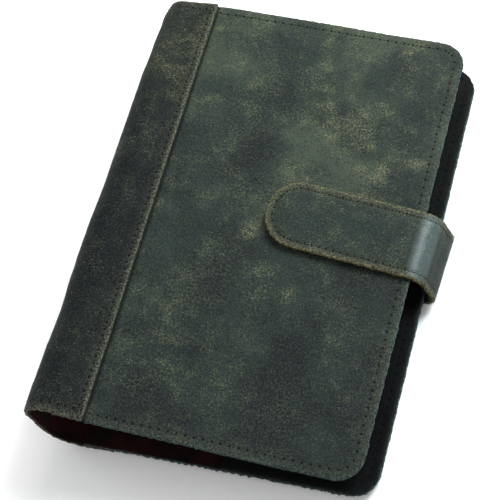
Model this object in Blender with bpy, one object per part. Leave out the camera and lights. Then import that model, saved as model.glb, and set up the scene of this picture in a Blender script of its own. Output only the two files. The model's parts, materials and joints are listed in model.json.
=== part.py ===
"""Leather notebook cover: two covers, a sewn-on spine strip and a closing strap.

X runs across the cover from the spine (-X) to the fore-edge (+X), Y along the spine, Z up.
The closed cover lies on its back; the origin is the centre of its footprint on the table.
Sizes are laid out from the back panel's outer face, and one root empty lifts it all into place.
Every sheet is laid along a section line in the XZ plane and spans the cover along Y.
"""
from math import asin, cos, pi, radians, sin, sqrt

import bmesh
import bpy
from mathutils import Matrix, Vector

MM = 0.001

# Overall sizes
COVER_HEIGHT = 164.0 * MM
SPINE_X = -59.0 * MM
BACK_EDGE_X = 57.5 * MM
FRONT_EDGE_X = 56.0 * MM
THICKNESS_AT_SPINE = 32.0 * MM
THICKNESS_AT_EDGE = 16.0 * MM
CORNER_RADIUS = 9.0 * MM

# Leather layers, counted from the outside in
GAP = 0.3 * MM
PANEL_THICK = 1.4 * MM
LINING_THICK = 0.4 * MM
SLEEVE_THICK = 1.0 * MM
PANEL_START_X = -47.0 * MM
LINING_INSET = 0.8 * MM
SLEEVE_WIDTH = 52.0 * MM

# Spine strip
STRIP_THICK = 1.2 * MM
STRIP_HALF_GAP = 0.15 * MM
BACK_WING_EDGE_X = -36.0 * MM
FRONT_WING_EDGE_X = -36.5 * MM
SPINE_RADIUS = 11.0 * MM
LINER_THICK = 0.8 * MM

# Closing strap
STRAP_HALF_WIDTH = 12.2 * MM
STRAP_THICK = 1.3 * MM
STRAP_LINING_THICK = 0.8 * MM
LOWER_STRAP_RADIUS = 5.5 * MM
UPPER_STRAP_RADIUS = 8.5 * MM
STRAP_OUTER_X = 62.5 * MM
STRAP_SEWN_END_X = 28.0 * MM
STRAP_TIP_X = 3.5 * MM
STRAP_CLEARANCE = 1.0 * MM
STRAP_Y = 1.4 * MM
STRAP_SKEW = radians(-3.5)

# Magnet closure
MAGNET_RADIUS = 5.0 * MM
MAGNET_THICK = 0.5 * MM
MAGNET_X = 18.0 * MM
RECESS_PLAY = 0.4 * MM
RECESS_DEPTH = 0.6 * MM

# Stitching
THREAD_RADIUS = 0.35 * MM
THREAD_LIFT = 0.4 * MM
GROOVE_RADIUS = 0.5 * MM
GROOVE_DEPTH = 0.35 * MM
SUNK_THREAD_RADIUS = 0.3 * MM
SUNK_THREAD_DEPTH = 0.4 * MM
SEAM_INSET = 3.0 * MM
STRIP_SEAM_INSET = 2.0 * MM
STRAP_SEAM_INSET = 2.4 * MM
FOLD_TRIM = 1.3 * MM

ARC_STEPS = 8
CORNER_STEPS = 8
THREAD_SIDES = 6
ROUND_SIDES = 32
SMOOTH_ANGLE = radians(35.0)

HALF_HEIGHT = COVER_HEIGHT / 2
STRIP_FACE_Z = -(GAP + STRIP_THICK)
STRAP_STACK = STRAP_THICK + GAP + STRAP_LINING_THICK
STRAP_FACE_Z = -(GAP + STRAP_STACK)
LOWER_SPINE_CENTRE = (SPINE_X + SPINE_RADIUS, STRIP_FACE_Z + SPINE_RADIUS)
SKEW_REACH = (STRAP_HALF_WIDTH - STRAP_SEAM_INSET) * abs(sin(STRAP_SKEW))
FOOTPRINT_CENTRE = (0.5 * (SPINE_X + STRAP_OUTER_X + SKEW_REACH), STRAP_FACE_Z)


def on_arc(centre, radius, degrees):
    """Point at an angle on a circle in the XZ plane."""
    angle = radians(degrees)
    return (centre[0] + radius * cos(angle), centre[1] + radius * sin(angle))


def mirrored(point):
    """The same point measured down from the front cover's outer face."""
    return (point[0], THICKNESS_AT_SPINE - point[1])


BACK_FOLD = on_arc(LOWER_SPINE_CENTRE, SPINE_RADIUS, 225.0)
FRONT_FOLD = mirrored(BACK_FOLD)
FRONT_SLOPE = asin((THICKNESS_AT_SPINE - THICKNESS_AT_EDGE) / (FRONT_EDGE_X - FRONT_FOLD[0]))


def tilted(point):
    """A front-cover point after the cover has sunk towards its fore-edge."""
    dx = point[0] - FRONT_FOLD[0]
    dz = point[1] - FRONT_FOLD[1]
    x = FRONT_FOLD[0] + dx * cos(FRONT_SLOPE) + dz * sin(FRONT_SLOPE)
    z = FRONT_FOLD[1] - dx * sin(FRONT_SLOPE) + dz * cos(FRONT_SLOPE)
    return (x, z)


TAB_FACE = tilted((BACK_EDGE_X, THICKNESS_AT_SPINE + STRAP_CLEARANCE + STRAP_STACK))
TAB_NORMAL_DEG = 90.0 - FRONT_SLOPE * 180.0 / pi
LOWER_STRAP_CENTRE = (STRAP_OUTER_X - LOWER_STRAP_RADIUS, STRAP_FACE_Z + LOWER_STRAP_RADIUS)
UPPER_CENTRE_X = STRAP_OUTER_X - UPPER_STRAP_RADIUS
TAB_RISE = ((TAB_FACE[0] - UPPER_CENTRE_X) * sin(FRONT_SLOPE) - UPPER_STRAP_RADIUS) / cos(FRONT_SLOPE)
UPPER_STRAP_CENTRE = (UPPER_CENTRE_X, TAB_FACE[1] + TAB_RISE)
SIDE_FOLD = on_arc(LOWER_STRAP_CENTRE, LOWER_STRAP_RADIUS, -45.0)
TAB_FOLD_DEG = TAB_NORMAL_DEG / 2
TAB_FOLD = on_arc(UPPER_STRAP_CENTRE, UPPER_STRAP_RADIUS, TAB_FOLD_DEG)


# ---------------------------------------------------------------- materials

def linear(channel):
    """One 8-bit display colour channel as a linear value."""
    value = channel / 255.0
    if value <= 0.04045:
        return value / 12.92
    return ((value + 0.055) / 1.055) ** 2.4


def make_material(name, rgb, roughness, metallic=0.0):
    material = bpy.data.materials.new(name)
    material.use_nodes = True
    shader = material.node_tree.nodes["Principled BSDF"]
    shader.inputs["Base Color"].default_value = [linear(c) for c in rgb] + [1.0]
    shader.inputs["Roughness"].default_value = roughness
    shader.inputs["Metallic"].default_value = metallic
    return material


# ---------------------------------------------------------------- section lines

def arc_section(centre, radius, start_deg, end_deg):
    """Stations along an arc: (x, z, normal x, normal z)."""
    stations = []
    for step in range(ARC_STEPS + 1):
        degrees = start_deg + (end_deg - start_deg) * step / ARC_STEPS
        x, z = on_arc(centre, radius, degrees)
        stations.append((x, z, cos(radians(degrees)), sin(radians(degrees))))
    return stations


def offset_section(section, distance):
    """The same section moved inwards along its normals."""
    return [(x - nx * distance, z - nz * distance, nx, nz) for x, z, nx, nz in section]


def mirror_section(section):
    return [(x, THICKNESS_AT_SPINE - z, nx, -nz) for x, z, nx, nz in section]


def flat_section(x_start, x_end, z, corner=0.0):
    """A flat sheet facing down; stations crowd together where its end corners are rounded."""
    stations = [(x_start, z, 0.0, -1.0)]
    if corner > 0.0:
        for step in range(CORNER_STEPS + 1):
            x = x_end - corner + corner * sin(0.5 * pi * step / CORNER_STEPS)
            stations.append((x, z, 0.0, -1.0))
    else:
        stations.append((x_end, z, 0.0, -1.0))
    return stations


def corner_width(x, x_end, half_width, corner):
    """Half width of a sheet whose far corners are rounded."""
    into = max(0.0, x - (x_end - corner))
    return half_width - corner + sqrt(max(0.0, corner * corner - into * into))


# ---------------------------------------------------------------- builders

def add_object(name, mesh_builder, material, body, y_shift=0.0):
    """Finish a mesh given in cover coordinates and hang it on its body's fold axis."""
    bmesh.ops.recalc_face_normals(mesh_builder, faces=mesh_builder.faces)
    origin = Vector((body["x"], 0.0, body["z"]))
    bmesh.ops.translate(mesh_builder, verts=mesh_builder.verts, vec=Vector((0.0, y_shift, 0.0)) - origin)
    mesh = bpy.data.meshes.new(name)
    mesh_builder.to_mesh(mesh)
    mesh_builder.free()
    mesh.shade_smooth()
    mesh.set_sharp_from_angle(angle=SMOOTH_ANGLE)
    mesh.materials.append(material)
    item = bpy.data.objects.new(name, mesh)
    bpy.context.scene.collection.objects.link(item)
    item.parent = body["empty"]
    return item


def add_sheet(name, section, thickness, half_width, material, body):
    """A leather sheet: its outer face follows the section, half_width(x, index) spans it."""
    builder = bmesh.new()
    rows = []
    for index, (x, z, nx, nz) in enumerate(section):
        width = half_width(x, index)
        inner_x = x - nx * thickness
        inner_z = z - nz * thickness
        rows.append([
            builder.verts.new((x, -width, z)),
            builder.verts.new((x, width, z)),
            builder.verts.new((inner_x, width, inner_z)),
            builder.verts.new((inner_x, -width, inner_z)),
        ])
    builder.faces.new(rows[0])
    builder.faces.new(rows[-1][::-1])
    for near, far in zip(rows, rows[1:]):
        for corner in range(4):
            following = (corner + 1) % 4
            builder.faces.new((near[corner], near[following], far[following], far[corner]))
    return add_object(name, builder, material, body)


def add_thread(name, path, material, body, across, closed=False, radius=THREAD_RADIUS):
    """A round thread laid along a path; across is a direction never along the path."""
    builder = bmesh.new()
    count = len(path)
    rings = []
    for index, point in enumerate(path):
        if closed:
            before = path[index - 1]
            after = path[(index + 1) % count]
        else:
            before = path[max(index - 1, 0)]
            after = path[min(index + 1, count - 1)]
        along = (Vector(after) - Vector(before)).normalized()
        side = along.cross(Vector(across)).normalized()
        rise = side.cross(along)
        ring = []
        for corner in range(THREAD_SIDES):
            angle = 2 * pi * corner / THREAD_SIDES
            offset = (side * cos(angle) + rise * sin(angle)) * radius
            ring.append(builder.verts.new(Vector(point) + offset))
        rings.append(ring)
    if closed:
        pairs = list(zip(rings, rings[1:] + rings[:1]))
    else:
        pairs = list(zip(rings, rings[1:]))
        builder.faces.new(rings[0])
        builder.faces.new(rings[-1][::-1])
    for near, far in pairs:
        for corner in range(THREAD_SIDES):
            following = (corner + 1) % THREAD_SIDES
            builder.faces.new((near[corner], near[following], far[following], far[corner]))
    return add_object(name, builder, material, body)


def add_disc(name, centre, normal_deg, radius, depth, material, body, y_shift=0.0):
    """A round plate whose axis lies in the XZ plane."""
    builder = bmesh.new()
    turn = Matrix.Rotation(radians(90.0 - normal_deg), 4, "Y")
    place = Matrix.Translation((centre[0], 0.0, centre[1])) @ turn
    bmesh.ops.create_cone(builder, cap_ends=True, segments=ROUND_SIDES, radius1=radius,
                          radius2=radius, depth=depth, matrix=place)
    return add_object(name, builder, material, body, y_shift)


def cut_recess(sheet, cutter):
    """Sink the cutter's shape into a sheet."""
    cutter.hide_render = True
    cutter.display_type = "WIRE"
    recess = sheet.modifiers.new("recess", "BOOLEAN")
    recess.operation = "DIFFERENCE"
    recess.solver = "EXACT"
    recess.object = cutter


def make_body(name, fold, parent=None, slope=0.0, y=0.0, skew=0.0):
    """An empty on a fold axis; the pieces of a body hang on it."""
    empty = bpy.data.objects.new(name, None)
    bpy.context.scene.collection.objects.link(empty)
    base = FOOTPRINT_CENTRE
    if parent is not None:
        empty.parent = parent["empty"]
        base = (parent["x"], parent["z"])
    empty.location = (fold[0] - base[0], y, fold[1] - base[1])
    empty.rotation_euler = (0.0, slope, skew)
    return {"empty": empty, "x": fold[0], "z": fold[1]}


# ---------------------------------------------------------------- clear the scene

for leftover in list(bpy.data.objects):
    bpy.data.objects.remove(leftover, do_unlink=True)

PANEL_LEATHER = make_material("panel_leather", (66, 73, 66), 0.55)
STRIP_LEATHER = make_material("strip_leather", (60, 67, 62), 0.55)
STRAP_LEATHER = make_material("strap_leather", (63, 69, 62), 0.50)
LINING_LEATHER = make_material("lining_leather", (70, 28, 26), 0.65)
SLEEVE_LEATHER = make_material("sleeve_leather", (58, 64, 58), 0.60)
THREAD = make_material("waxed_thread", (58, 62, 54), 0.50)
MAGNET_METAL = make_material("nickel_plate", (170, 170, 172), 0.30, 1.0)

back = make_body("back_root", (0.0, 0.0))
spine = make_body("back_fold_axis", BACK_FOLD, back)
front = make_body("front_fold_axis", FRONT_FOLD, spine, FRONT_SLOPE)
strap_base = make_body("strap_sewn_end_frame", SIDE_FOLD, back, y=STRAP_Y, skew=STRAP_SKEW)
strap_side = make_body("strap_side_fold_axis", SIDE_FOLD, strap_base)
strap_tab = make_body("strap_tab_fold_axis", TAB_FOLD, strap_side)


# ---------------------------------------------------------------- covers

def cover_layers(prefix, body, edge_x, flip):
    """Outer panel, lining and notebook sleeve of one cover."""
    layers = (
        ("panel", PANEL_START_X, edge_x, 0.0, PANEL_THICK, PANEL_LEATHER),
        ("lining", PANEL_START_X, edge_x - LINING_INSET, PANEL_THICK + GAP, LINING_THICK, LINING_LEATHER),
        ("sleeve", edge_x - LINING_INSET - SLEEVE_WIDTH, edge_x - LINING_INSET,
         PANEL_THICK + LINING_THICK + 2 * GAP, SLEEVE_THICK, SLEEVE_LEATHER),
    )
    made = {}
    for layer, start_x, end_x, depth, thickness, material in layers:
        inset = edge_x - end_x
        corner = CORNER_RADIUS - inset
        section = flat_section(start_x, end_x, depth, corner)
        if flip:
            section = mirror_section(section)

        def half_width(x, index, end_x=end_x, inset=inset, corner=corner):
            return corner_width(x, end_x, HALF_HEIGHT - inset, corner)

        made[layer] = add_sheet(f"{prefix}_{layer}", section, thickness, half_width, material, body)
    return made


back_layers = cover_layers("back", back, BACK_EDGE_X, False)
front_layers = cover_layers("front", front, FRONT_EDGE_X, True)


# ---------------------------------------------------------------- spine strip

def full_height(x, index):
    return HALF_HEIGHT


TRIM_DEG = STRIP_HALF_GAP / SPINE_RADIUS * 180.0 / pi


def wing_section(edge_x):
    section = arc_section(LOWER_SPINE_CENTRE, SPINE_RADIUS, 225.0 + TRIM_DEG, 270.0)
    return section + [(edge_x, STRIP_FACE_Z, 0.0, -1.0)]


spine_half = arc_section(LOWER_SPINE_CENTRE, SPINE_RADIUS, 225.0 - TRIM_DEG, 180.0)
spine_section = spine_half + mirror_section(spine_half)[::-1]

add_sheet("back_spine_wing", wing_section(BACK_WING_EDGE_X), STRIP_THICK, full_height,
          STRIP_LEATHER, back)
add_sheet("spine_strip", spine_section, STRIP_THICK, full_height, STRIP_LEATHER, spine)
add_sheet("front_spine_wing", mirror_section(wing_section(FRONT_WING_EDGE_X)), STRIP_THICK,
          full_height, STRIP_LEATHER, front)
add_sheet("spine_liner", offset_section(spine_section, STRIP_THICK + GAP), LINER_THICK,
          full_height, LINING_LEATHER, spine)


# ---------------------------------------------------------------- cover seams

SEAM_Y = HALF_HEIGHT - SEAM_INSET
THREAD_TRIM_DEG = FOLD_TRIM / SPINE_RADIUS * 180.0 / pi


def edge_seam(edge_x, wing_edge_x):
    """Head half of the seam round one cover: over the spine wing, then round the corner."""
    radius = CORNER_RADIUS - SEAM_INSET
    centre_x = edge_x - CORNER_RADIUS
    centre_y = HALF_HEIGHT - CORNER_RADIUS
    on_wing = STRIP_FACE_Z - THREAD_LIFT
    on_panel = -THREAD_LIFT
    step = THREAD_RADIUS + GAP
    path = [
        (PANEL_START_X, SEAM_Y, on_wing),
        (wing_edge_x, SEAM_Y, on_wing),
        (wing_edge_x + step, SEAM_Y, 0.5 * (on_wing + on_panel)),
        (wing_edge_x + 2 * step, SEAM_Y, on_panel),
    ]
    for corner_step in range(CORNER_STEPS + 1):
        angle = 0.5 * pi * (1.0 - corner_step / CORNER_STEPS)
        path.append((centre_x + radius * cos(angle), centre_y + radius * sin(angle), on_panel))
    return path


def flip_head_to_tail(path):
    return [(x, -y, z) for x, y, z in path]


def mirror_path(path):
    return [(x, y, THICKNESS_AT_SPINE - z) for x, y, z in path]


UP = (0.0, 0.0, 1.0)
ALONG_SPINE = (0.0, 1.0, 0.0)

back_seam_x = BACK_EDGE_X - SEAM_INSET
seam_stop = STRAP_HALF_WIDTH + SEAM_INSET / 2
back_head = edge_seam(BACK_EDGE_X, BACK_WING_EDGE_X)
back_tail = flip_head_to_tail(back_head)
add_thread("back_edge_thread_head", back_head + [(back_seam_x, STRAP_Y + seam_stop, -THREAD_LIFT)],
           THREAD, back, UP)
add_thread("back_edge_thread_tail", back_tail + [(back_seam_x, STRAP_Y - seam_stop, -THREAD_LIFT)],
           THREAD, back, UP)

front_head = mirror_path(edge_seam(FRONT_EDGE_X, FRONT_WING_EDGE_X))
front_tail = flip_head_to_tail(front_head)
add_thread("front_edge_thread", front_head + front_tail[::-1], THREAD, front, UP)

seam_end = SEAM_Y - 3 * THREAD_RADIUS
for prefix, body, wing_edge_x, flip in (("back", back, BACK_WING_EDGE_X, False),
                                        ("front", front, FRONT_WING_EDGE_X, True)):
    seam_x = wing_edge_x - STRIP_SEAM_INSET
    seam = [(seam_x, -seam_end, STRIP_FACE_Z - THREAD_LIFT), (seam_x, seam_end, STRIP_FACE_Z - THREAD_LIFT)]
    if flip:
        seam = mirror_path(seam)
    add_thread(f"{prefix}_spine_seam_thread", seam, THREAD, body, UP)

round_half = arc_section(LOWER_SPINE_CENTRE, SPINE_RADIUS, 225.0 - THREAD_TRIM_DEG, 180.0)
round_spine = offset_section(round_half + mirror_section(round_half)[::-1], -THREAD_LIFT)
for place, y in (("head", SEAM_Y), ("tail", -SEAM_Y)):
    add_thread(f"spine_{place}_thread", [(x, y, z) for x, z, nx, nz in round_spine], THREAD, spine,
               ALONG_SPINE)


# ---------------------------------------------------------------- closing strap

def strap_width(x, index):
    return STRAP_HALF_WIDTH


def arc_degrees(length, radius):
    return length / radius * 180.0 / pi


def side_section(trim):
    lower_start = -45.0 + arc_degrees(trim, LOWER_STRAP_RADIUS)
    upper_end = TAB_FOLD_DEG - arc_degrees(trim, UPPER_STRAP_RADIUS)
    lower = arc_section(LOWER_STRAP_CENTRE, LOWER_STRAP_RADIUS, lower_start, 0.0)
    upper = arc_section(UPPER_STRAP_CENTRE, UPPER_STRAP_RADIUS, 0.0, upper_end)
    return lower + upper


def sewn_section(trim):
    end = -45.0 - arc_degrees(trim, LOWER_STRAP_RADIUS)
    arc = arc_section(LOWER_STRAP_CENTRE, LOWER_STRAP_RADIUS, -90.0, end)
    return [(STRAP_SEWN_END_X, STRAP_FACE_Z, 0.0, -1.0)] + arc


def tab_section(trim):
    """From the upper fold to the rounded tip, with stations crowded at the tip."""
    start = TAB_FOLD_DEG + arc_degrees(trim, UPPER_STRAP_RADIUS)
    section = arc_section(UPPER_STRAP_CENTRE, UPPER_STRAP_RADIUS, start, TAB_NORMAL_DEG)
    start_x, start_z, nx, nz = section[-1]
    length = (start_x - STRAP_TIP_X) / nz
    for step in range(CORNER_STEPS + 1):
        run = length - STRAP_HALF_WIDTH + STRAP_HALF_WIDTH * sin(0.5 * pi * step / CORNER_STEPS)
        section.append((start_x - nz * run, start_z + nx * run, nx, nz))
    return section


def tab_width(x, index):
    """Half width of the tab: parallel sides, then a rounded tip with a blunt nose."""
    round_index = index - ARC_STEPS - 1
    if round_index <= 0:
        return STRAP_HALF_WIDTH
    nose = 0.12
    return STRAP_HALF_WIDTH * (nose + (1.0 - nose) * cos(0.5 * pi * round_index / CORNER_STEPS))


for name, section, width, body in (
        ("strap_sewn_end", sewn_section(STRIP_HALF_GAP), strap_width, strap_base),
        ("strap_side", side_section(STRIP_HALF_GAP), strap_width, strap_side),
        ("strap_tab", tab_section(STRIP_HALF_GAP), tab_width, strap_tab)):
    outer = add_sheet(name, section, STRAP_THICK, width, STRAP_LEATHER, body)
    under = offset_section(section, STRAP_THICK + GAP)
    add_sheet(f"{name}_lining", under, STRAP_LINING_THICK, width, LINING_LEATHER, body)
    if name == "strap_tab":
        tab_sheet = outer
    if name == "strap_sewn_end":
        sewn_sheet = outer

side_line = offset_section(side_section(FOLD_TRIM), -THREAD_LIFT)
strap_seam_y = STRAP_HALF_WIDTH - STRAP_SEAM_INSET
for place, y in (("head", strap_seam_y), ("tail", -strap_seam_y)):
    path = [(x, y, z) for x, z, nx, nz in side_line]
    add_thread(f"strap_side_thread_{place}", path, THREAD, strap_side, ALONG_SPINE)

tab_line = offset_section(tab_section(FOLD_TRIM), -THREAD_LIFT)
tab_head = []
for index, (x, z, nx, nz) in enumerate(tab_line):
    width = tab_width(x, index)
    if width > 2 * STRAP_SEAM_INSET:
        tab_head.append((x + STRAP_SEAM_INSET * (1.0 - width / STRAP_HALF_WIDTH),
                         width - STRAP_SEAM_INSET, z))
tab_tail = [(x, -y, z) for x, y, z in tab_head]
add_thread("strap_tab_thread", tab_head + tab_tail[::-1], THREAD, strap_tab, (1.0, 0.0, 1.0))

box_start = STRAP_SEWN_END_X + STRAP_SEAM_INSET
box_end = BACK_EDGE_X - 2 * SEAM_INSET


def seam_box(depth):
    """Rectangular seam that holds the strap's end, sunk below its outer face."""
    z = STRAP_FACE_Z + depth
    return [(box_start, -strap_seam_y, z), (box_end, -strap_seam_y, z),
            (box_end, strap_seam_y, z), (box_start, strap_seam_y, z)]


groove_cutter = add_thread("sewn_end_groove_cutter", seam_box(GROOVE_DEPTH), THREAD, strap_base, UP,
                           closed=True, radius=GROOVE_RADIUS)
cut_recess(sewn_sheet, groove_cutter)
add_thread("strap_sewn_end_thread", seam_box(SUNK_THREAD_DEPTH), THREAD, strap_base, UP,
           closed=True, radius=SUNK_THREAD_RADIUS)


# ---------------------------------------------------------------- magnet closure

FROM_FOLD = MAGNET_X - SIDE_FOLD[0]
STRIKER_X = SIDE_FOLD[0] + FROM_FOLD * cos(STRAP_SKEW)
STRIKER_Y = STRAP_Y + FROM_FOLD * sin(STRAP_SKEW)


def tab_point(height):
    """Point in the tab over the closed front cover, measured from the cover's outer face."""
    return tilted((MAGNET_X, THICKNESS_AT_SPINE + height))


def striker_point(height):
    return (STRIKER_X, THICKNESS_AT_SPINE + height)


recess_radius = MAGNET_RADIUS + RECESS_PLAY
tab_under = STRAP_CLEARANCE + STRAP_LINING_THICK + GAP
tab_cutter = add_disc("tab_recess_cutter", tab_point(tab_under), TAB_NORMAL_DEG, recess_radius,
                      2 * RECESS_DEPTH, MAGNET_METAL, strap_tab)
cut_recess(tab_sheet, tab_cutter)
magnet_level = tab_under - GAP + 0.5 * (GAP + RECESS_DEPTH)
add_disc("tab_magnet", tab_point(magnet_level), TAB_NORMAL_DEG, MAGNET_RADIUS, MAGNET_THICK,
         MAGNET_METAL, strap_tab)

front_cutter = add_disc("front_recess_cutter", striker_point(-PANEL_THICK), 90.0, recess_radius,
                        2 * RECESS_DEPTH, MAGNET_METAL, front, STRIKER_Y)
cut_recess(front_layers["panel"], front_cutter)
plate_level = -PANEL_THICK - GAP + 0.5 * (GAP + RECESS_DEPTH)
add_disc("front_striker_plate", striker_point(plate_level), 90.0, MAGNET_RADIUS, MAGNET_THICK,
         MAGNET_METAL, front, STRIKER_Y)
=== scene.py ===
"""Looks of the leather notebook cover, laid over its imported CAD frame.

Every leather layer is a fine sheet laid along a section path. Points on a sheet are written
(s, y, h): s runs along the section, y along the spine, h outwards from the path. All in mm.
"""
import json
import math

import bpy
import numpy as np
from mathutils import Matrix, Vector


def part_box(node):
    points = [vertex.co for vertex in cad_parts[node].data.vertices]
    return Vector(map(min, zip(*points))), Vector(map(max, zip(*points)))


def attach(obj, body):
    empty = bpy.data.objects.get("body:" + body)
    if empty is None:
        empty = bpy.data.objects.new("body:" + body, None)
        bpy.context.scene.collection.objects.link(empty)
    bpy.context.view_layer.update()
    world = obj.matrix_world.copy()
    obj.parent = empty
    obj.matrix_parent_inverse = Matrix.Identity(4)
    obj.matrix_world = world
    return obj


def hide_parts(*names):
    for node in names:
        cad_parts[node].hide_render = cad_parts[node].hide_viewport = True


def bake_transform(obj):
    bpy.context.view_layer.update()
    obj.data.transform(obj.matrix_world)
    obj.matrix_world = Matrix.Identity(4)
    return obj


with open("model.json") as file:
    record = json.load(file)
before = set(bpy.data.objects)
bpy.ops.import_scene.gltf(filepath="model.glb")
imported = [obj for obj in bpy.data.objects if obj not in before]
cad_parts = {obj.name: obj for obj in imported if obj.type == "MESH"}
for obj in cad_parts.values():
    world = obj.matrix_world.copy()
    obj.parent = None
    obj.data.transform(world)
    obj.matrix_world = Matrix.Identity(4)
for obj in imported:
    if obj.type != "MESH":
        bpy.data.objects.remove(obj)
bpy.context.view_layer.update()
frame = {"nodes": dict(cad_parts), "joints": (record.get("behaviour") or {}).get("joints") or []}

# ------------------------------------------------------------------ sizes (mm)

MM = 0.001


def box_mm(node):
    low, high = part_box(node)
    return np.array(low) / MM, np.array(high) / MM


def joint_xz(name):
    joint = [j for j in frame["joints"] if j["name"] == name][0]
    return joint["pos_m"][0] / MM, joint["pos_m"][2] / MM


PANEL_LOW, PANEL_HIGH = box_mm("back_panel")
HALF_H = float(PANEL_HIGH[1])
BACK_FACE_Z = float(PANEL_LOW[2])
BACK_EDGE = float(PANEL_HIGH[0])
WING_END_BACK = float(box_mm("back_spine_wing")[1][0])
STRIP_FACE = BACK_FACE_Z - float(box_mm("back_spine_wing")[0][2])
SPINE_OUT = float(box_mm("spine_strip")[0][0])
FRONT_FOLD = joint_xz("front_fold")
BACK_FOLD = joint_xz("back_fold")
MID_Z = 0.5 * (FRONT_FOLD[1] + BACK_FOLD[1])
STRAP_FACE_Z = float(box_mm("strap_sewn_end")[0][2])

# The strap sits slightly askew: it is laid out square to the cover, then turned about its lower fold.
STRAP_HALF = 12.2
LOWER_FOLD = [j for j in frame["joints"] if j["name"] == "strap_lower_fold"][0]
PIVOT_X, PIVOT_Y = LOWER_FOLD["pos_m"][0] / MM, LOWER_FOLD["pos_m"][1] / MM
SKEW_SIN = -LOWER_FOLD["axis"][0]
SKEW_COS = LOWER_FOLD["axis"][1]


def unskewed(x, reach):
    """Along-strap place of a box face whose touching corner lies reach off the strap's middle."""
    return PIVOT_X + (x + reach * SKEW_SIN - PIVOT_X) / SKEW_COS


STRAP_OUT = unskewed(float(box_mm("strap_side")[1][0]), STRAP_HALF)
SEWN_END = unskewed(float(box_mm("strap_sewn_end")[0][0]), -STRAP_HALF)
TIP_REACH = 1.5      # the round tip's lowest x lies this far off the strap's middle
TAB_TIP = unskewed(float(box_mm("strap_tab")[0][0]), -TIP_REACH)

FRONT_TILT = math.radians(8.23)
FRONT_SAG = 0.5
PRESS = 1.0          # how far the strap presses the front cover's edge in
TIGHT = 1.3          # how far the strap's bend is pulled in
STRIP_BEND_R = 11.0
SPINE_R = STRIP_BEND_R - STRIP_FACE
SPINE_ARC = SPINE_R * math.pi / 2
HALF_SPINE = MID_Z - BACK_FACE_Z - SPINE_R
ARC_X = SPINE_OUT + STRIP_FACE + SPINE_R
S_FLAT = HALF_SPINE + SPINE_ARC


def untilted(x_high, level):
    """Where a point of the sloping front cover would lie with the cover level."""
    rise = 2 * MID_Z - BACK_FACE_Z + level - FRONT_FOLD[1]
    return FRONT_FOLD[0] + (x_high - FRONT_FOLD[0] - rise * math.sin(FRONT_TILT)) / math.cos(FRONT_TILT)


FRONT_EDGE = untilted(float(box_mm("front_panel")[1][0]), 0.0)
WING_END_FRONT = untilted(float(box_mm("front_spine_wing")[1][0]), STRIP_FACE)
S_BACK = S_FLAT + BACK_EDGE - ARC_X
S_FRONT = S_FLAT + FRONT_EDGE - ARC_X
CORNER_R = 9.0

LOW_R, UP_R = 5.5, 8.5
STRAP_CZ_LOW = STRAP_FACE_Z + LOW_R
STRAP_CZ_UP = joint_xz("strap_upper_fold")[1] - UP_R * math.sin(0.5 * (math.pi / 2 - FRONT_TILT))
STRAP_HALF_SIDE = 0.5 * (STRAP_CZ_UP - STRAP_CZ_LOW)
STRAP_MID_Z = 0.5 * (STRAP_CZ_UP + STRAP_CZ_LOW)

PANEL_T = 1.55
LINING_T = 0.45
SLEEVE_T = 1.3
STRIP_T = 1.4
STRAP_T = 1.3
STRAP_LINING_T = 0.9
THREAD_R = 0.25
STRAP_THREAD_R = 0.24
THREAD_SINK = 0.20
SLEEVE_THREAD_SINK = 0.34
STRAP_THREAD_SINK = 0.16
EDGE_INSET = 3.0
STRIP_INSET = 2.0
STRAP_INSET = 2.4
EDGE_PITCH = 3.0
STRIP_PITCH = 2.5
STRAP_PITCH = 2.5

random = np.random.RandomState(11)


# ------------------------------------------------------------------ smooth noise

def waves(seed, wavelength, count=14):
    """A smooth random field of plane waves with unit spread."""
    source = np.random.RandomState(seed)
    angle = source.uniform(0, 2 * np.pi, count)
    size = 2 * np.pi / (wavelength * source.uniform(0.7, 1.6, count))
    phase = source.uniform(0, 2 * np.pi, count)

    def field(s, y):
        total = np.zeros(np.broadcast(s, y).shape)
        for a, k, p in zip(angle, size, phase):
            total += np.cos(k * (np.cos(a) * s + np.sin(a) * y) + p)
        return total * math.sqrt(2.0 / count)
    return field


SAG_FIELD = waves(3, 70.0)
DENT_FIELD = waves(4, 16.0)
SPINE_FIELD = waves(5, 45.0)
STRAP_FIELD = waves(6, 22.0)
RAW_FIELD = waves(7, 2.2, 24)
RAW_FINE = waves(8, 0.8, 24)


def smooth(t):
    t = np.clip(t, 0.0, 1.0)
    return t * t * (3 - 2 * t)


# ------------------------------------------------------------------ section paths

HEAD_SKEW = 1.7      # the back cover's head edge is cut a little askew
SAG_HEIGHT = 0.16
DENT_HEIGHT = 0.05
SPINE_WAVE = 0.18
SPINE_LEAN = 0.8     # the spine stands proud at the tail and tucks in at the head
HEAD_TUCK = 1.0
HEAD_TUCK_REACH = 9.0
FLATTENING_RUN = 20.0
TAB_DROP = 1.0       # the tab lies on the front cover
SIDE_DROP = 0.15
TIP_LIFT = 0.5
TAB_CUP = 0.10
TAB_WAVE = 0.10


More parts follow.
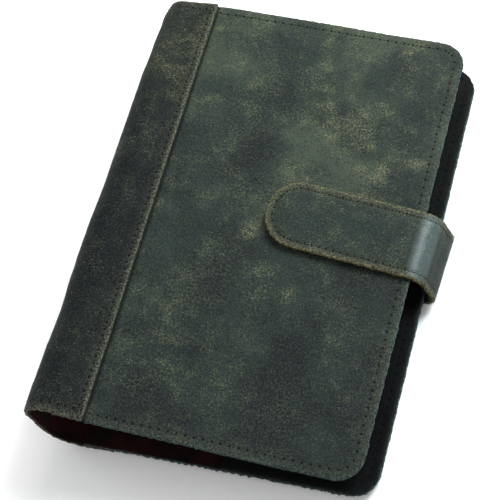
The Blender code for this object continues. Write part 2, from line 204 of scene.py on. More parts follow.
def cover_place(s, y, h):
    """(s, y, h) on the wrapped cover to x, y, z; s is 0 at mid spine, + to the front."""
    s, y, h = np.broadcast_arrays(np.asarray(s, float), np.asarray(y, float), np.asarray(h, float))
    reach = np.abs(s)
    turn = np.clip(reach - HALF_SPINE, 0, SPINE_ARC) / SPINE_R
    run = np.maximum(reach - S_FLAT, 0)
    side = np.where(s < 0, -1.0, 1.0)
    y = y - HEAD_SKEW * smooth(run / 90) * smooth(y / HALF_H) * (s < 0)
    nx = -np.cos(turn)
    nz = side * np.sin(turn)
    x = ARC_X - SPINE_R * np.cos(turn) + run
    z = MID_Z + side * (np.minimum(reach, HALF_SPINE) + SPINE_R * np.sin(turn))
    share = np.clip(run / (S_FRONT - S_FLAT), 0, 1)
    front = s > 0
    off_spine = smooth(run / FLATTENING_RUN)
    at_head = smooth((y - HALF_H + HEAD_TUCK_REACH) / HEAD_TUCK_REACH)
    rise = SAG_HEIGHT * SAG_FIELD(s, y) * off_spine + DENT_HEIGHT * DENT_FIELD(s, y)
    rise = rise + (SPINE_WAVE * SPINE_FIELD(y, 0 * y) - SPINE_LEAN * y / HALF_H) * (1 - off_spine)
    rise = rise - HEAD_TUCK * at_head ** 2 * (1 - smooth(2 * run / FLATTENING_RUN))
    pressed = np.exp(-((y - PIVOT_Y) / (STRAP_HALF - 1.0)) ** 8) * smooth((s - S_FRONT + 7.0) / 7.0)
    h = h + rise - PRESS * pressed
    z = z - np.where(front, FRONT_SAG * 4 * share * (1 - share), 0)
    x = x + nx * h
    z = z + nz * h
    tilt = np.where(front, FRONT_TILT * smooth((s - HALF_SPINE) / SPINE_ARC), 0)
    dx = x - FRONT_FOLD[0]
    dz = z - FRONT_FOLD[1]
    xt = FRONT_FOLD[0] + dx * np.cos(tilt) + dz * np.sin(tilt)
    zt = FRONT_FOLD[1] - dx * np.sin(tilt) + dz * np.cos(tilt)
    return np.stack([xt, y, zt], axis=-1)


def strap_place(s, y, h):
    """(s, y, h) on the strap; s is 0 half way up its side, + towards the tab's tip."""
    s, y, h = np.broadcast_arrays(np.asarray(s, float), np.asarray(y, float), np.asarray(h, float))
    reach = np.abs(s)
    upper = s > 0
    radius = np.where(upper, UP_R, LOW_R)
    full = np.where(upper, math.pi / 2 - FRONT_TILT, math.pi / 2)
    turn = np.minimum(np.maximum(reach - STRAP_HALF_SIDE, 0) / radius, full)
    run = np.maximum(reach - STRAP_HALF_SIDE - radius * full, 0)
    side = np.where(upper, 1.0, -1.0)
    nx = np.cos(turn)
    nz = side * np.sin(turn)
    x = STRAP_OUT - radius + radius * nx - run * np.sin(turn)
    z = STRAP_MID_Z + side * (np.minimum(reach, STRAP_HALF_SIDE) + radius * np.sin(turn))
    z = z + np.where(upper, run * np.cos(turn), 0)
    up_share = smooth((s + 3.0) / 8.0)
    on_tab = smooth((s - STRAP_HALF_SIDE - UP_R) / 8.0)
    lie = -TAB_DROP * on_tab - TIGHT * up_share * (1 - on_tab) - SIDE_DROP * smooth((-s - 3.0) / 5.0)
    tip = TIP_LIFT * smooth((run - 36.0) / 14.0) * upper
    cup = -TAB_CUP * (np.abs(y) / STRAP_HALF) ** 3 * on_tab
    h = h + lie + tip + cup + TAB_WAVE * STRAP_FIELD(s, y) * on_tab
    x = x + nx * h - PIVOT_X
    skewed_x = PIVOT_X + x * SKEW_COS - y * SKEW_SIN
    skewed_y = PIVOT_Y + x * SKEW_SIN + y * SKEW_COS
    return np.stack([skewed_x, skewed_y, z + nz * h], axis=-1)


# ------------------------------------------------------------------ seams

class Seam:
    """A row of stitches along a polyline in (s, y)."""

    def __init__(self, points, pitch, closed=False):
        points = np.array(points, float)
        if closed:
            points = np.vstack([points, points[:1]])
        steps = np.linalg.norm(np.diff(points, axis=0), axis=1)
        self.run = np.concatenate([[0], np.cumsum(steps)])
        self.length = self.run[-1]
        self.count = max(2, int(round(self.length / pitch)))
        dense = np.linspace(0, self.length, int(self.length / 0.35) + 2)
        self.points = np.stack([np.interp(dense, self.run, points[:, k]) for k in (0, 1)], axis=1)
        self.along = dense
        tangent = np.gradient(self.points, dense, axis=0)
        self.tangent = tangent / np.linalg.norm(tangent, axis=1)[:, None]

    def nearest(self, s, y):
        """Stitch number (whole at each hole) and signed distance for every point."""
        number = np.zeros(len(s))
        across = np.full(len(s), 99.0)
        for start in range(0, len(s), 4000):
            part = slice(start, start + 4000)
            ds = s[part, None] - self.points[None, :, 0]
            dy = y[part, None] - self.points[None, :, 1]
            near = np.argmin(ds * ds + dy * dy, axis=1)
            rows = np.arange(len(near))
            ds, dy = ds[rows, near], dy[rows, near]
            tangent = self.tangent[near]
            along = self.along[near] + ds * tangent[:, 0] + dy * tangent[:, 1]
            number[part] = along / self.length * self.count
            over = np.maximum(np.maximum(-along, along - self.length), 0)
            signed = ds * tangent[:, 1] - dy * tangent[:, 0]
            across[part] = np.where(over > 0.4, np.sign(signed) * np.hypot(signed, over), signed)
        return number, across

    def at(self, number):
        """(s, y) and the tangent at a stitch number."""
        along = np.asarray(number, float) / self.count * self.length
        spot = np.stack([np.interp(along, self.along, self.points[:, k]) for k in (0, 1)], axis=-1)
        way = np.stack([np.interp(along, self.along, self.tangent[:, k]) for k in (0, 1)], axis=-1)
        return spot, way / np.linalg.norm(way, axis=-1, keepdims=True)


def rounded_run(s_start, s_end, half, radius, inset):
    """U-shaped line: along one side, round both far corners, back along the other."""
    r = radius - inset
    way = 1.0 if s_end > s_start else -1.0
    centre_s = s_end - way * radius
    centre_y = half - radius
    points = [(s_start, half - inset)]
    for angle in np.linspace(np.pi / 2, 0, 24):
        points.append((centre_s + way * r * np.cos(angle), centre_y + r * np.sin(angle)))
    return points + [(s, -y) for s, y in points[::-1]]


# ------------------------------------------------------------------ mesh helpers

def make_object(name, points_mm, faces, material, smooth_shade=True, attributes=None):
    mesh = bpy.data.meshes.new(name)
    mesh.from_pydata((np.asarray(points_mm) * MM).tolist(), [], faces)
    if smooth_shade:
        mesh.shade_smooth()
    for key, values in (attributes or {}).items():
        values = np.asarray(values, np.float32)
        kind = "FLOAT_VECTOR" if values.ndim == 2 else "FLOAT"
        slot = mesh.attributes.new(key, kind, "POINT")
        slot.data.foreach_set("vector" if values.ndim == 2 else "value", values.ravel())
    mesh.materials.append(material)
    item = bpy.data.objects.new(name, mesh)
    bpy.context.scene.collection.objects.link(item)
    return item


def lines(start, end, step, fine_start=True):
    """Grid lines from start to end, crowded near the ends that are cut edges."""
    length = abs(end - start)
    crowd = [0.0, 0.06, 0.18, 0.36, 0.6, 0.9, 1.3]
    low = crowd if fine_start else [0.0]
    inner = length - low[-1] - crowd[-1]
    count = max(2, int(round(inner / step)))
    middle = low[-1] + inner * np.arange(1, count) / count
    out = np.concatenate([low, middle, length - np.array(crowd[::-1])])
    return start + (1 if end > start else -1) * out


def border_of(rows, columns, open_start):
    """Grid indices round the border, starting at the near end; open at s start if asked."""
    ring = [i * columns for i in range(rows)]
    ring += [(rows - 1) * columns + j for j in range(1, columns)]
    ring += [i * columns + columns - 1 for i in range(rows - 2, -1, -1)]
    if not open_start:
        ring += [j for j in range(columns - 2, 0, -1)]
    return np.array(ring)


def rounding(depth, radius):
    """Drop of a rounded cut edge at a given depth in from it."""
    return radius - np.sqrt(np.maximum(radius ** 2 - (radius - np.minimum(depth, radius)) ** 2, 0))


def sheet(name, place, s_start, s_end, half, material, h_out, h_in, step=0.8, corner=0.0,
          round_out=0.55, round_in=0.25, seams=(), open_start=False, raw=0.10, seed=0,
          groove=0.12, wear_and_rim_light_width=2.0, relief=None, painted_shade=None, tail_raw=1.0):
    """A leather sheet with rounded cut edges, sunken seams and slightly uneven borders."""
    s_lines = lines(s_start, s_end, step, fine_start=not open_start)
    y_lines = lines(-half, half, step)
    rows, columns = len(s_lines), len(y_lines)
    s, y = [a.ravel() for a in np.meshgrid(s_lines, y_lines, indexing="ij")]
    way = 1.0 if s_end > s_start else -1.0
    if corner > 0:
        a = np.clip((way * (s - s_end) + corner) / corner, 0, 1)
        b = np.clip((np.abs(y) - half + corner) / corner, 0, 1)
        inside = (a > 0) & (b > 0)
        a2 = a * np.sqrt(1 - b * b / 2)
        b2 = b * np.sqrt(1 - a * a / 2)
        s = np.where(inside, s_end + way * (a2 * corner - corner), s)
        y = np.where(inside, np.sign(y) * (half - corner + b2 * corner), y)
    qs = way * (s - s_end) + corner
    qy = np.abs(y) - half + corner
    depth = corner - np.hypot(np.maximum(qs, 0), np.maximum(qy, 0)) - np.minimum(np.maximum(qs, qy), 0)
    if not open_start:
        depth = np.minimum(depth, way * (s - s_start))
    depth = np.maximum(depth, 0)

    number = np.zeros(len(s))
    across = np.full(len(s), 9.0)
    for seam in seams:
        n, d = seam.nearest(s, y)
        closer = np.abs(d) < np.abs(across)
        number = np.where(closer, n, number)
        across = np.where(closer, d, across)

    uneven = raw * (0.7 * RAW_FIELD(s + 31 * seed, y) + 0.4 * RAW_FINE(s, y + 17 * seed))
    uneven = uneven * np.where((y < -half + 2.5) & (qy >= qs), tail_raw, 1.0)
    pull = uneven * np.exp(-depth / 0.7)
    centre_pull = np.stack([np.sign(qs) * (qs > qy) * way, np.sign(y) * (qy >= qs)], axis=1)
    if not open_start:
        near_start = way * (s - s_start) < 1.2
        centre_pull[near_start & (qy < corner - 1.2)] = (-way, 0.0)
    s_out = s + pull * centre_pull[:, 0]
    y_out = y + pull * centre_pull[:, 1]

    drop = rounding(depth, round_out)
    sunk = groove * np.exp(-(across / 0.62) ** 2) * (0.75 + 0.35 * np.cos(2 * np.pi * number))
    puff = 0.35 * groove * (np.exp(-((np.abs(across) - 1.45) / 0.7) ** 2))
    height = h_out - drop - sunk + puff + 0.03 * RAW_FIELD(s * 0.5, y * 0.5)
    if relief is not None:
        height = height + relief(s, y)
    outer = place(s_out, y_out, height)
    inner = place(s_out, y_out, h_in + rounding(depth, round_in))

    ring = border_of(rows, columns, open_start)
    top = h_out - round_out
    bottom = h_in + round_in
    walls = []
    wall_rest = []
    levels = [0.25, 0.5, 0.75]
    for level in levels:
        h = top + (bottom - top) * level
        fibres = RAW_FINE(s[ring] * 1.3 + 5 * h, y[ring] * 1.3 - 9 * h)
        bulge = 0.10 * math.sin(math.pi * level) + 0.5 * raw * fibres
        bs = s_out[ring] + bulge * centre_pull[ring, 0]
        by = y_out[ring] + bulge * centre_pull[ring, 1]
        walls.append(place(bs, by, h))
        wall_rest.append(np.stack([s[ring], y[ring], np.full(len(ring), h)], axis=1))

    total = rows * columns
    points = np.concatenate([outer, inner] + walls)
    rest_out = np.stack([s, y, height], axis=1)
    rest_in = np.stack([s, y, np.full(total, h_in)], axis=1)
    rest = np.concatenate([rest_out, rest_in] + wall_rest)
    wear_and_rim_light = np.exp(-depth / wear_and_rim_light_width)
    zero = np.zeros(total)
    one = np.ones(len(ring))
    attributes = {
        "rest": rest + np.array([0.0, 0.0, 40.0 * seed]),
        "wear_and_rim_light": np.concatenate([wear_and_rim_light, zero] + [one] * len(levels)),
        # painted shade of the crease beside the spine strip, zero elsewhere
        "painted_shade": np.concatenate([zero if painted_shade is None else painted_shade(s), zero] + [0 * one] * len(levels)),
        "raw": np.concatenate([np.exp(-depth / 0.25), zero + 1] + [one] * len(levels)),
        "seam": np.concatenate([np.stack([number, across, zero], axis=1),
                                np.stack([number, across * 0 + 9, zero], axis=1)]
                               + [np.stack([one * 0, one * 9, one * 0], axis=1)] * len(levels)),
    }
    i, j = np.meshgrid(np.arange(rows - 1), np.arange(columns - 1), indexing="ij")
    a = (i * columns + j).ravel()
    quads = np.stack([a, a + columns, a + columns + 1, a + 1], axis=1)
    back_quads = quads[:, ::-1] + total
    wall_loops = [2 * total + k * len(ring) + np.arange(len(ring)) for k in range(len(levels))]
    loops = [ring] + wall_loops + [ring + total]
    side_faces = []
    for upper, lower in zip(loops, loops[1:]):
        if open_start:
            k = np.arange(len(ring) - 1)
            nxt = k + 1
        else:
            k = np.arange(len(ring))
            nxt = (k + 1) % len(ring)
        side_faces.append(np.stack([upper[k], lower[k], lower[nxt], upper[nxt]], axis=1))
    faces = np.concatenate([quads, back_quads] + side_faces)
    if SIDE_FLIP[place.__name__] * way < 0:
        faces = faces[:, ::-1]
    return make_object(name, points, faces.tolist(), material, True, attributes)


SIDE_FLIP = {"cover_place": 1.0, "strap_place": -1.0}


def tubes(name, paths, radius, material, sides=6, taper=0.6):
    """Many short tubes in one mesh; paths is an array of shape (count, steps, 3) in mm."""
    paths = np.asarray(paths, float)
    count, steps, _ = paths.shape
    radius = np.broadcast_to(np.asarray(radius, float), (count,))
    tangent = np.gradient(paths, axis=1)
    tangent /= np.linalg.norm(tangent, axis=2, keepdims=True) + 1e-12
    upright = np.abs(tangent[:, :, 2:3]) > 0.9
    helper = np.where(upright, np.array([0.0, 1.0, 0.0]), np.array([0.0, 0.0, 1.0]))
    side = np.cross(tangent, helper)
    side /= np.linalg.norm(side, axis=2, keepdims=True) + 1e-12
    up = np.cross(side, tangent)
    u = np.linspace(-1, 1, steps)
    profile = 1 - (1 - taper) * u ** 4
    angles = 2 * np.pi * np.arange(sides) / sides
    rings = (paths[:, :, None, :]
             + (side[:, :, None, :] * np.cos(angles)[None, None, :, None]
                + up[:, :, None, :] * np.sin(angles)[None, None, :, None])
             * (radius[:, None, None, None] * profile[None, :, None, None]))
    points = rings.reshape(-1, 3)
    faces = []
    base = np.arange(count)[:, None] * steps * sides
    for step in range(steps - 1):
        for k in range(sides):
            n = (k + 1) % sides
            near, far = step * sides, (step + 1) * sides
            quad = np.array([near + k, near + n, far + n, far + k])
            faces.append(base + quad[None, :])
    quads = np.concatenate(faces).tolist()
    caps = []
    for start in base[:, 0]:
        caps.append([int(start + k) for k in range(sides - 1, -1, -1)])
        caps.append([int(start + (steps - 1) * sides + k) for k in range(sides)])
    rest = {"rest": points, "wear_and_rim_light": np.zeros(len(points)), "raw": np.zeros(len(points))}
    return make_object(name, points, quads + caps, material, True, rest)


def stitch_paths(seam, place, level, numbers=None, slant=0.10, sink=0.5, rise=0.06, inset=0.19):
    """Centre lines of the threads between neighbouring holes of a seam."""
    if numbers is None:
        numbers = np.arange(seam.count)
    u = np.linspace(0, 1, 7)
    number = numbers[:, None] + inset + (1 - 2 * inset) * u[None, :]
    spot, way = seam.at(number.ravel())
    normal = np.stack([-way[:, 1], way[:, 0]], axis=1)
    lean = np.tile(slant * (2 * u - 1), len(numbers))
    lean = lean + np.repeat(random.uniform(-0.05, 0.05, len(numbers)), len(u))
    spot = spot + normal * lean[:, None]
    bow = np.tile(rise - (rise + sink) * (2 * u - 1) ** 4, len(numbers))
    points = place(spot[:, 0], spot[:, 1], level + bow)
    return points.reshape(len(numbers), len(u), 3)


def hairs(name, roots, outward, length, radius, material, droop=0.3):
    """Loose leather fibres: short bent hairs from their roots (mm)."""
    count = len(roots)
    u = np.linspace(0, 1, 5)
    wander = random.normal(0, 1, (count, 3))
    wander /= np.linalg.norm(wander, axis=1, keepdims=True)
    curl = random.normal(0, 1, (count, 3))
    size = length * random.uniform(0.4, 1.3, count)
    way = outward + 0.75 * wander
    way /= np.linalg.norm(way, axis=1, keepdims=True)
    paths = roots[:, None, :] + way[:, None, :] * (u[None, :, None] - 0.15) * size[:, None, None]
    paths = paths + 0.35 * curl[:, None, :] * (u ** 2)[None, :, None] * size[:, None, None]
    paths[:, :, 2] -= droop * (u ** 2)[None, :] * size[:, None] * 0.3
    return tubes(name, paths, radius * random.uniform(0.6, 1.3, count), material, sides=3, taper=0.3)


# ------------------------------------------------------------------ materials

def linear(rgb):
    shares = [value / 255 for value in rgb]
    return tuple(c / 12.92 if c <= 0.04045 else ((c + 0.055) / 1.055) ** 2.4 for c in shares) + (1.0,)


def scaled(colour, share):
    return tuple(share * c for c in colour[:3]) + (1.0,)


class Graph:
    """Small helper that builds a node tree step by step."""

    def __init__(self, name):
        self.material = bpy.data.materials.new(name)
        self.material.use_nodes = True
        self.tree = self.material.node_tree
        self.shader = self.tree.nodes["Principled BSDF"]

    def put(self, socket, value):
        if isinstance(value, bpy.types.NodeSocket):
            self.tree.links.new(value, socket)
        else:
            socket.default_value = value

    def node(self, kind, **settings):
        made = self.tree.nodes.new(kind)
        for key, value in settings.items():
            setattr(made, key, value)
        return made

    def attribute(self, name, output="Fac"):
        return self.node("ShaderNodeAttribute", attribute_name=name).outputs[output]

    def math(self, operation, a, b=0.0, c=0.0, clamp=False):
        made = self.node("ShaderNodeMath", operation=operation, use_clamp=clamp)
        for socket, value in zip(made.inputs, (a, b, c)):
            self.put(socket, value)
        return made.outputs[0]

    def noise(self, vector, scale, detail=2.0, rough=0.5, distortion=0.0):
        made = self.node("ShaderNodeTexNoise")
        self.put(made.inputs["Vector"], vector)
        made.inputs["Scale"].default_value = scale
        made.inputs["Detail"].default_value = detail
        made.inputs["Roughness"].default_value = rough
        made.inputs["Distortion"].default_value = distortion
        return made.outputs["Fac"]

    def cells(self, vector, scale, feature="F1"):
        made = self.node("ShaderNodeTexVoronoi", feature=feature)
        self.put(made.inputs["Vector"], vector)
        made.inputs["Scale"].default_value = scale
        return made.outputs["Distance"]

    def step(self, value, low, high, out_low=0.0, out_high=1.0):
        made = self.node("ShaderNodeMapRange", interpolation_type="SMOOTHSTEP")
        self.put(made.inputs["Value"], value)
        sockets = ("From Min", "From Max", "To Min", "To Max")
        for socket, number in zip(sockets, (low, high, out_low, out_high)):
            self.put(made.inputs[socket], number)
        return made.outputs["Result"]

    def mix(self, factor, a, b):
        made = self.node("ShaderNodeMix", data_type="RGBA")
        self.put(made.inputs[0], factor)
        self.put(made.inputs[6], a)
        self.put(made.inputs[7], b)
        return made.outputs[2]

    def bump(self, height, strength, distance, normal=None):
        made = self.node("ShaderNodeBump")
        made.inputs["Strength"].default_value = strength
        made.inputs["Distance"].default_value = distance
        self.put(made.inputs["Height"], height)
        if normal is not None:
            self.put(made.inputs["Normal"], normal)
        return made.outputs["Normal"]


def leather(name, deep, middle, light, fleck, fleck_amount=1.0, shine=0.5, rim=1.0, specular=0.2,
            edge=None, cut=None, polish_and_sheen=None, fleck_strength=0.5):
    """Waxed pull-up leather: dark blotches, fine pale flecks, scuffed edges, stitch holes darkened with
    painted shade.

    edge is the colour of its scuffed rim and cut of its cut edge; on the sleeve leather both are a painted
    highlight along the rim.
    polish, if given, is the place along the sheet that bending and handling have smoothed; there the colour
    also turns paler and bluish, partly the pull-up leather's own lightening and partly a painted sheen.
    """
    g = Graph(name)
    at = g.attribute("rest", "Vector")
    spot = g.node("ShaderNodeSeparateXYZ")
    g.put(spot.inputs[0], at)
    cloud = g.noise(at, 0.022, 3.0, 0.5, 0.5)
    haze = g.noise(at, 0.07, 4.0, 0.6, 0.3)
    tone = g.math("ADD", g.math("MULTIPLY", cloud, 0.55), g.math("MULTIPLY", haze, 0.45))
    # painted light: the tone rises with y, so the leather is lighter towards the head and darker towards
    # the tail, as the light falls from the head side
    tone = g.math("MULTIPLY_ADD", spot.outputs[1], 0.0013, tone)
    colour = g.mix(g.step(tone, 0.36, 0.52), deep, middle)
    colour = g.mix(g.step(tone, 0.50, 0.67), colour, light)

    grain = g.noise(at, 1.3, 3.0, 0.7, 0.3)
    specks = g.noise(at, 2.1, 2.0, 0.6, 0.2)
    drift = g.noise(at, 0.06, 3.0, 0.6, 0.8)
    small_drift = g.noise(at, 0.21, 3.0, 0.6, 0.4)
    patches = g.step(g.math("ADD", g.math("MULTIPLY", drift, 0.6), g.math("MULTIPLY", small_drift, 0.4)),
                     0.42, 0.67)
    patches = g.math("MULTIPLY", patches, g.step(tone, 0.40, 0.60, 0.35, 1.0))
    soft_mask = g.math("MULTIPLY", g.step(grain, 0.45, 0.60),
                       g.math("MULTIPLY_ADD", patches, 0.50 * fleck_amount, 0.18 * fleck_amount))
    if polish_and_sheen is not None:
        rubbed_and_sheen = g.step(g.math("ABSOLUTE", g.math("SUBTRACT", spot.outputs[0], polish_and_sheen)), 2.0, 6.0, 1.0, 0.0)
        rubbed_and_sheen = g.math("MULTIPLY", rubbed_and_sheen, g.math("SUBTRACT", 1.0, g.attribute("wear_and_rim_light")))
        soft_mask = g.math("MULTIPLY", soft_mask, g.math("MULTIPLY_ADD", rubbed_and_sheen, -0.6, 1.0))
    dull = tuple(0.5 * f + 0.7 * m for f, m in zip(fleck[:3], light[:3])) + (1.0,)
    speck_tone = g.mix(patches, dull, fleck)
    colour = g.mix(soft_mask, colour, speck_tone)
    threshold = g.math("SUBTRACT", 0.628, g.math("MULTIPLY", patches, 0.095 * fleck_amount))
    fleck_mask = g.step(g.math("SUBTRACT", specks, threshold), 0.0, 0.06)
    bright = g.mix(patches, scaled(dull, 1.5), scaled(fleck, 1.4))
    fleck_share = g.math("MULTIPLY_ADD", patches, 0.9 - fleck_strength, fleck_strength)
    colour = g.mix(g.math("MULTIPLY", fleck_mask, fleck_share), colour, bright)
    pits = g.step(g.noise(at, 1.15, 3.0, 0.7, 0.4), 0.50, 0.34)
    colour = g.mix(g.math("MULTIPLY", pits, 0.60), colour, scaled(deep, 0.5))

    wear_and_rim_light = g.attribute("wear_and_rim_light")
    edge_grain = g.noise(at, 1.5, 3.0, 0.7)
    worn_and_rim_light = g.math("MULTIPLY", wear_and_rim_light, g.step(edge_grain, 0.44, 0.60), clamp=True)
    # rim colour: real scuffing on the outer leathers, a painted highlight on the sleeve leather
    colour = g.mix(g.math("MULTIPLY", worn_and_rim_light, 0.60 * rim), colour, edge)
    raw = g.attribute("raw")
    fibre = g.noise(at, 1.5, 4.0, 0.7)
    raw_colour = g.mix(g.step(fibre, 0.42, 0.60), scaled(cut, 0.22), cut)
    colour = g.mix(g.math("MULTIPLY", raw, 0.75 * rim), colour, raw_colour)

    seam = g.node("ShaderNodeSeparateXYZ")
    g.put(seam.inputs[0], g.attribute("seam", "Vector"))
    along = g.math("FRACT", g.math("ADD", seam.outputs[0], 0.5))
    along = g.math("ABSOLUTE", g.math("SUBTRACT", along, 0.5))
    along = g.math("MULTIPLY", along, 2.8)
    across = seam.outputs[1]
    squares = g.math("ADD", g.math("MULTIPLY", along, along), g.math("MULTIPLY", across, across))
    from_hole = g.math("SQRT", squares)
    # painted shade: the colour goes near black where the crease-shadow attribute is set, beside the spine
    # strip
    colour = g.mix(g.attribute("painted_shade"), colour, (0.002, 0.002, 0.002, 1.0))
    # painted shade: stitch holes coloured near black for the shade inside them; the same mask dips the bump
    hole_dip_and_shade = g.step(from_hole, 0.26, 0.46, 1.0, 0.0)
    colour = g.mix(hole_dip_and_shade, colour, (0.0006, 0.0006, 0.0006, 1.0))

    rough = g.math("MULTIPLY_ADD", g.step(grain, 0.3, 0.7), 0.16, 0.66 - 0.26 * shine)
    rough = g.math("ADD", rough, g.math("MULTIPLY", g.math("ADD", soft_mask, raw), 0.22), clamp=True)
    if polish_and_sheen is not None:
        # painted sheen: the polished band's colour is lifted towards pale blue-grey, partly the leather's
        # own pull-up lightening where bent, partly the key light's reflection painted in
        colour = g.mix(g.math("MULTIPLY", rubbed_and_sheen, 0.35), colour, linear((72, 92, 92)))
        rough = g.math("MULTIPLY", rough, g.math("MULTIPLY_ADD", rubbed_and_sheen, -0.32, 1.0))
        g.put(g.shader.inputs["Specular IOR Level"], g.math("MULTIPLY_ADD", rubbed_and_sheen, 0.29, specular))
    else:
        g.shader.inputs["Specular IOR Level"].default_value = specular
    g.put(g.shader.inputs["Base Color"], colour)
    g.put(g.shader.inputs["Roughness"], rough)

    pores = g.math("ADD", g.math("MULTIPLY", grain, 0.6), g.math("MULTIPLY", specks, 0.4))
    creases = g.cells(at, 0.75, "DISTANCE_TO_EDGE")
    normal = g.bump(g.step(creases, 0.0, 0.22), 0.20, 0.00012)
    normal = g.bump(pores, 0.60, 0.00030, normal)
    normal = g.bump(g.math("MULTIPLY", fibre, raw), 0.9, 0.0004, normal)
    normal = g.bump(hole_dip_and_shade, 0.8, -0.0005, normal)
    g.put(g.shader.inputs["Normal"], normal)
    return g.material


def plain(name, dark, light, scale, roughness, metallic=0.0, bump=0.3, distance=0.0001):
    """A simple two-tone procedural material."""
    g = Graph(name)
    at = g.node("ShaderNodeTexCoord").outputs["Object"]
    field = g.noise(at, scale, 4.0, 0.6)
    g.put(g.shader.inputs["Base Color"], g.mix(g.step(field, 0.35, 0.65), dark, light))
    g.put(g.shader.inputs["Roughness"], g.math("MULTIPLY_ADD", field, 0.2, roughness - 0.1))
    g.shader.inputs["Metallic"].default_value = metallic
    g.shader.inputs["Specular IOR Level"].default_value = 0.5 if metallic else 0.12
    g.put(g.shader.inputs["Normal"], g.bump(field, bump, distance))
    return g.material


COVER_LEATHER = leather("cover_leather", linear((10, 17, 21)), linear((25, 34, 33)), linear((48, 56, 48)),
                        linear((92, 92, 68)), fleck_amount=1.0, shine=0.40, rim=0.8, specular=0.10,
                        edge=linear((84, 89, 72)), cut=linear((78, 96, 95)))
STRIP_LEATHER = leather("strip_leather", linear((5, 11, 16)), linear((14, 21, 22)), linear((26, 32, 29)),
                        linear((80, 80, 60)), fleck_amount=0.75, shine=0.5, rim=1.2, specular=0.08,
                        edge=linear((98, 98, 82)), cut=linear((106, 105, 89)),
                        fleck_strength=0.8)
STRAP_LEATHER = leather("strap_leather", linear((9, 19, 19)), linear((16, 28, 27)), linear((26, 38, 33)),
                        linear((88, 89, 68)), fleck_amount=1.15, shine=0.7, rim=1.35, specular=0.12,
                        edge=linear((112, 106, 76)), cut=linear((112, 104, 74)),
                        polish_and_sheen=STRAP_HALF_SIDE + UP_R * 0.95, fleck_strength=0.8)
# painted highlight: this near-black sleeve leather gets pale blue-grey edge and cut colours, a thin lit
# line along its rim
INNER_LEATHER = leather("sleeve_leather", linear((5, 6, 7)), linear((8, 9, 10)), linear((12, 13, 13)),
                        linear((24, 25, 22)), fleck_amount=0.3, shine=0.3, rim=0.8, specular=0.08,
                        edge=linear((36, 43, 42)), cut=linear((30, 36, 36)))
LINING_LEATHER = plain("lining_leather", linear((9, 4, 4)), linear((34, 7, 8)), 90.0, 0.9)
THREAD = plain("waxed_thread", linear((22, 26, 22)), linear((44, 46, 37)), 2500.0, 0.7, bump=0.6)
# painted shade: a darker copy of the waxed thread for the sleeve stitches inside the covers, where shade
# falls
SHADED_THREAD = plain("inner_thread_shaded", linear((6, 7, 7)), linear((12, 13, 12)), 2500.0, 0.8, bump=0.6)
FIBRE = plain("leather_fibre", linear((34, 34, 27)), linear((86, 83, 62)), 400.0, 0.85)
NICKEL = plain("nickel_plate", (0.45, 0.45, 0.46, 1), (0.62, 0.62, 0.63, 1), 3000.0, 0.35, 1.0, 0.1)

# ------------------------------------------------------------------ covers

S_STRIP_FRONT = S_FLAT + WING_END_FRONT - ARC_X
S_STRIP_BACK = -(S_FLAT + WING_END_BACK - ARC_X)
S_PANEL = S_FLAT + 1.0
INSET = 0.8


def cover_side(body, s_edge, s_strip, strap_gap=None):
    """Panel, lining, sleeve and seams of one cover; returns its edge threads."""
    way = 1.0 if s_edge > 0 else -1.0
    line = rounded_run(s_strip + way * 1.6, s_edge, HALF_H, CORNER_R, EDGE_INSET)
    seam = Seam(line, EDGE_PITCH)

    def crease(s, y):
        return -0.45 * np.exp(-((s - s_strip - way * 0.25) / 0.38) ** 2)

    # painted shade: a near-black line on the panel just beside the spine strip's raised edge, where the
    # strip's shadow falls into the crease
    def crease_stain(s):
        return 0.97 * np.exp(-((s - s_strip - way * 0.35) / 0.50) ** 2)

    panel = sheet(f"{body}_panel_leather", cover_place, way * S_PANEL, s_edge, HALF_H, COVER_LEATHER,
                  0.0, -PANEL_T, 0.6, CORNER_R, seams=(seam,), seed=1 if way > 0 else 2,
                  raw=0.10 if way > 0 else 0.07, relief=crease, painted_shade=crease_stain,
                  tail_raw=1.0 if way > 0 else 3.0)
    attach(panel, body)
    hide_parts(f"{body}_panel")
    lining = sheet(f"{body}_lining_sheet", cover_place, way * S_PANEL, s_edge - way * INSET * 0.5,
                   HALF_H - INSET * 0.5, LINING_LEATHER, -PANEL_T, -PANEL_T - LINING_T, 2.0,
                   CORNER_R - INSET * 0.5, round_out=0.1, round_in=0.1, seed=3)
    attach(lining, body)
    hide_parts(f"{body}_lining")
    low = -PANEL_T - LINING_T
    sleeve_start = s_edge - way * (INSET + 52.0)
    sleeve_seam = Seam(rounded_run(sleeve_start, s_edge, HALF_H, CORNER_R, EDGE_INSET), EDGE_PITCH)
    sleeve_level = -(low - SLEEVE_T)
    # a narrow width keeps the sleeve's painted rim highlight to a thin line
    sleeve = sheet(f"{body}_sleeve_leather", flipped_cover_place, sleeve_start,
                   s_edge - way * INSET * 0.3, HALF_H - INSET * 0.3, INNER_LEATHER, sleeve_level, -low, 1.0,
                   CORNER_R - INSET * 0.3, seams=(sleeve_seam,), seed=4, round_out=0.4, wear_and_rim_light_width=0.5)
    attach(sleeve, body)
    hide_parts(f"{body}_sleeve")
    numbers = np.arange(seam.count)
    if strap_gap is not None:
        spot, _ = seam.at(numbers + 0.5)
        hidden = (np.abs(spot[:, 1] - PIVOT_Y) < strap_gap) & (np.abs(spot[:, 0]) > abs(s_edge) - 6)
        numbers = numbers[~hidden]
    threads = tubes(f"{body}_edge_stitches", stitch_paths(seam, cover_place, -THREAD_SINK, numbers),
                    THREAD_R, THREAD)
    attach(threads, body)
    inner = tubes(f"{body}_sleeve_stitches",
                  stitch_paths(sleeve_seam, flipped_cover_place, sleeve_level - SLEEVE_THREAD_SINK),
                  THREAD_R, SHADED_THREAD)
    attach(inner, body)
    return threads


def flipped_cover_place(s, y, h):
    """The cover path seen from inside: h counts inwards."""
    return cover_place(s, y, -np.asarray(h, float))


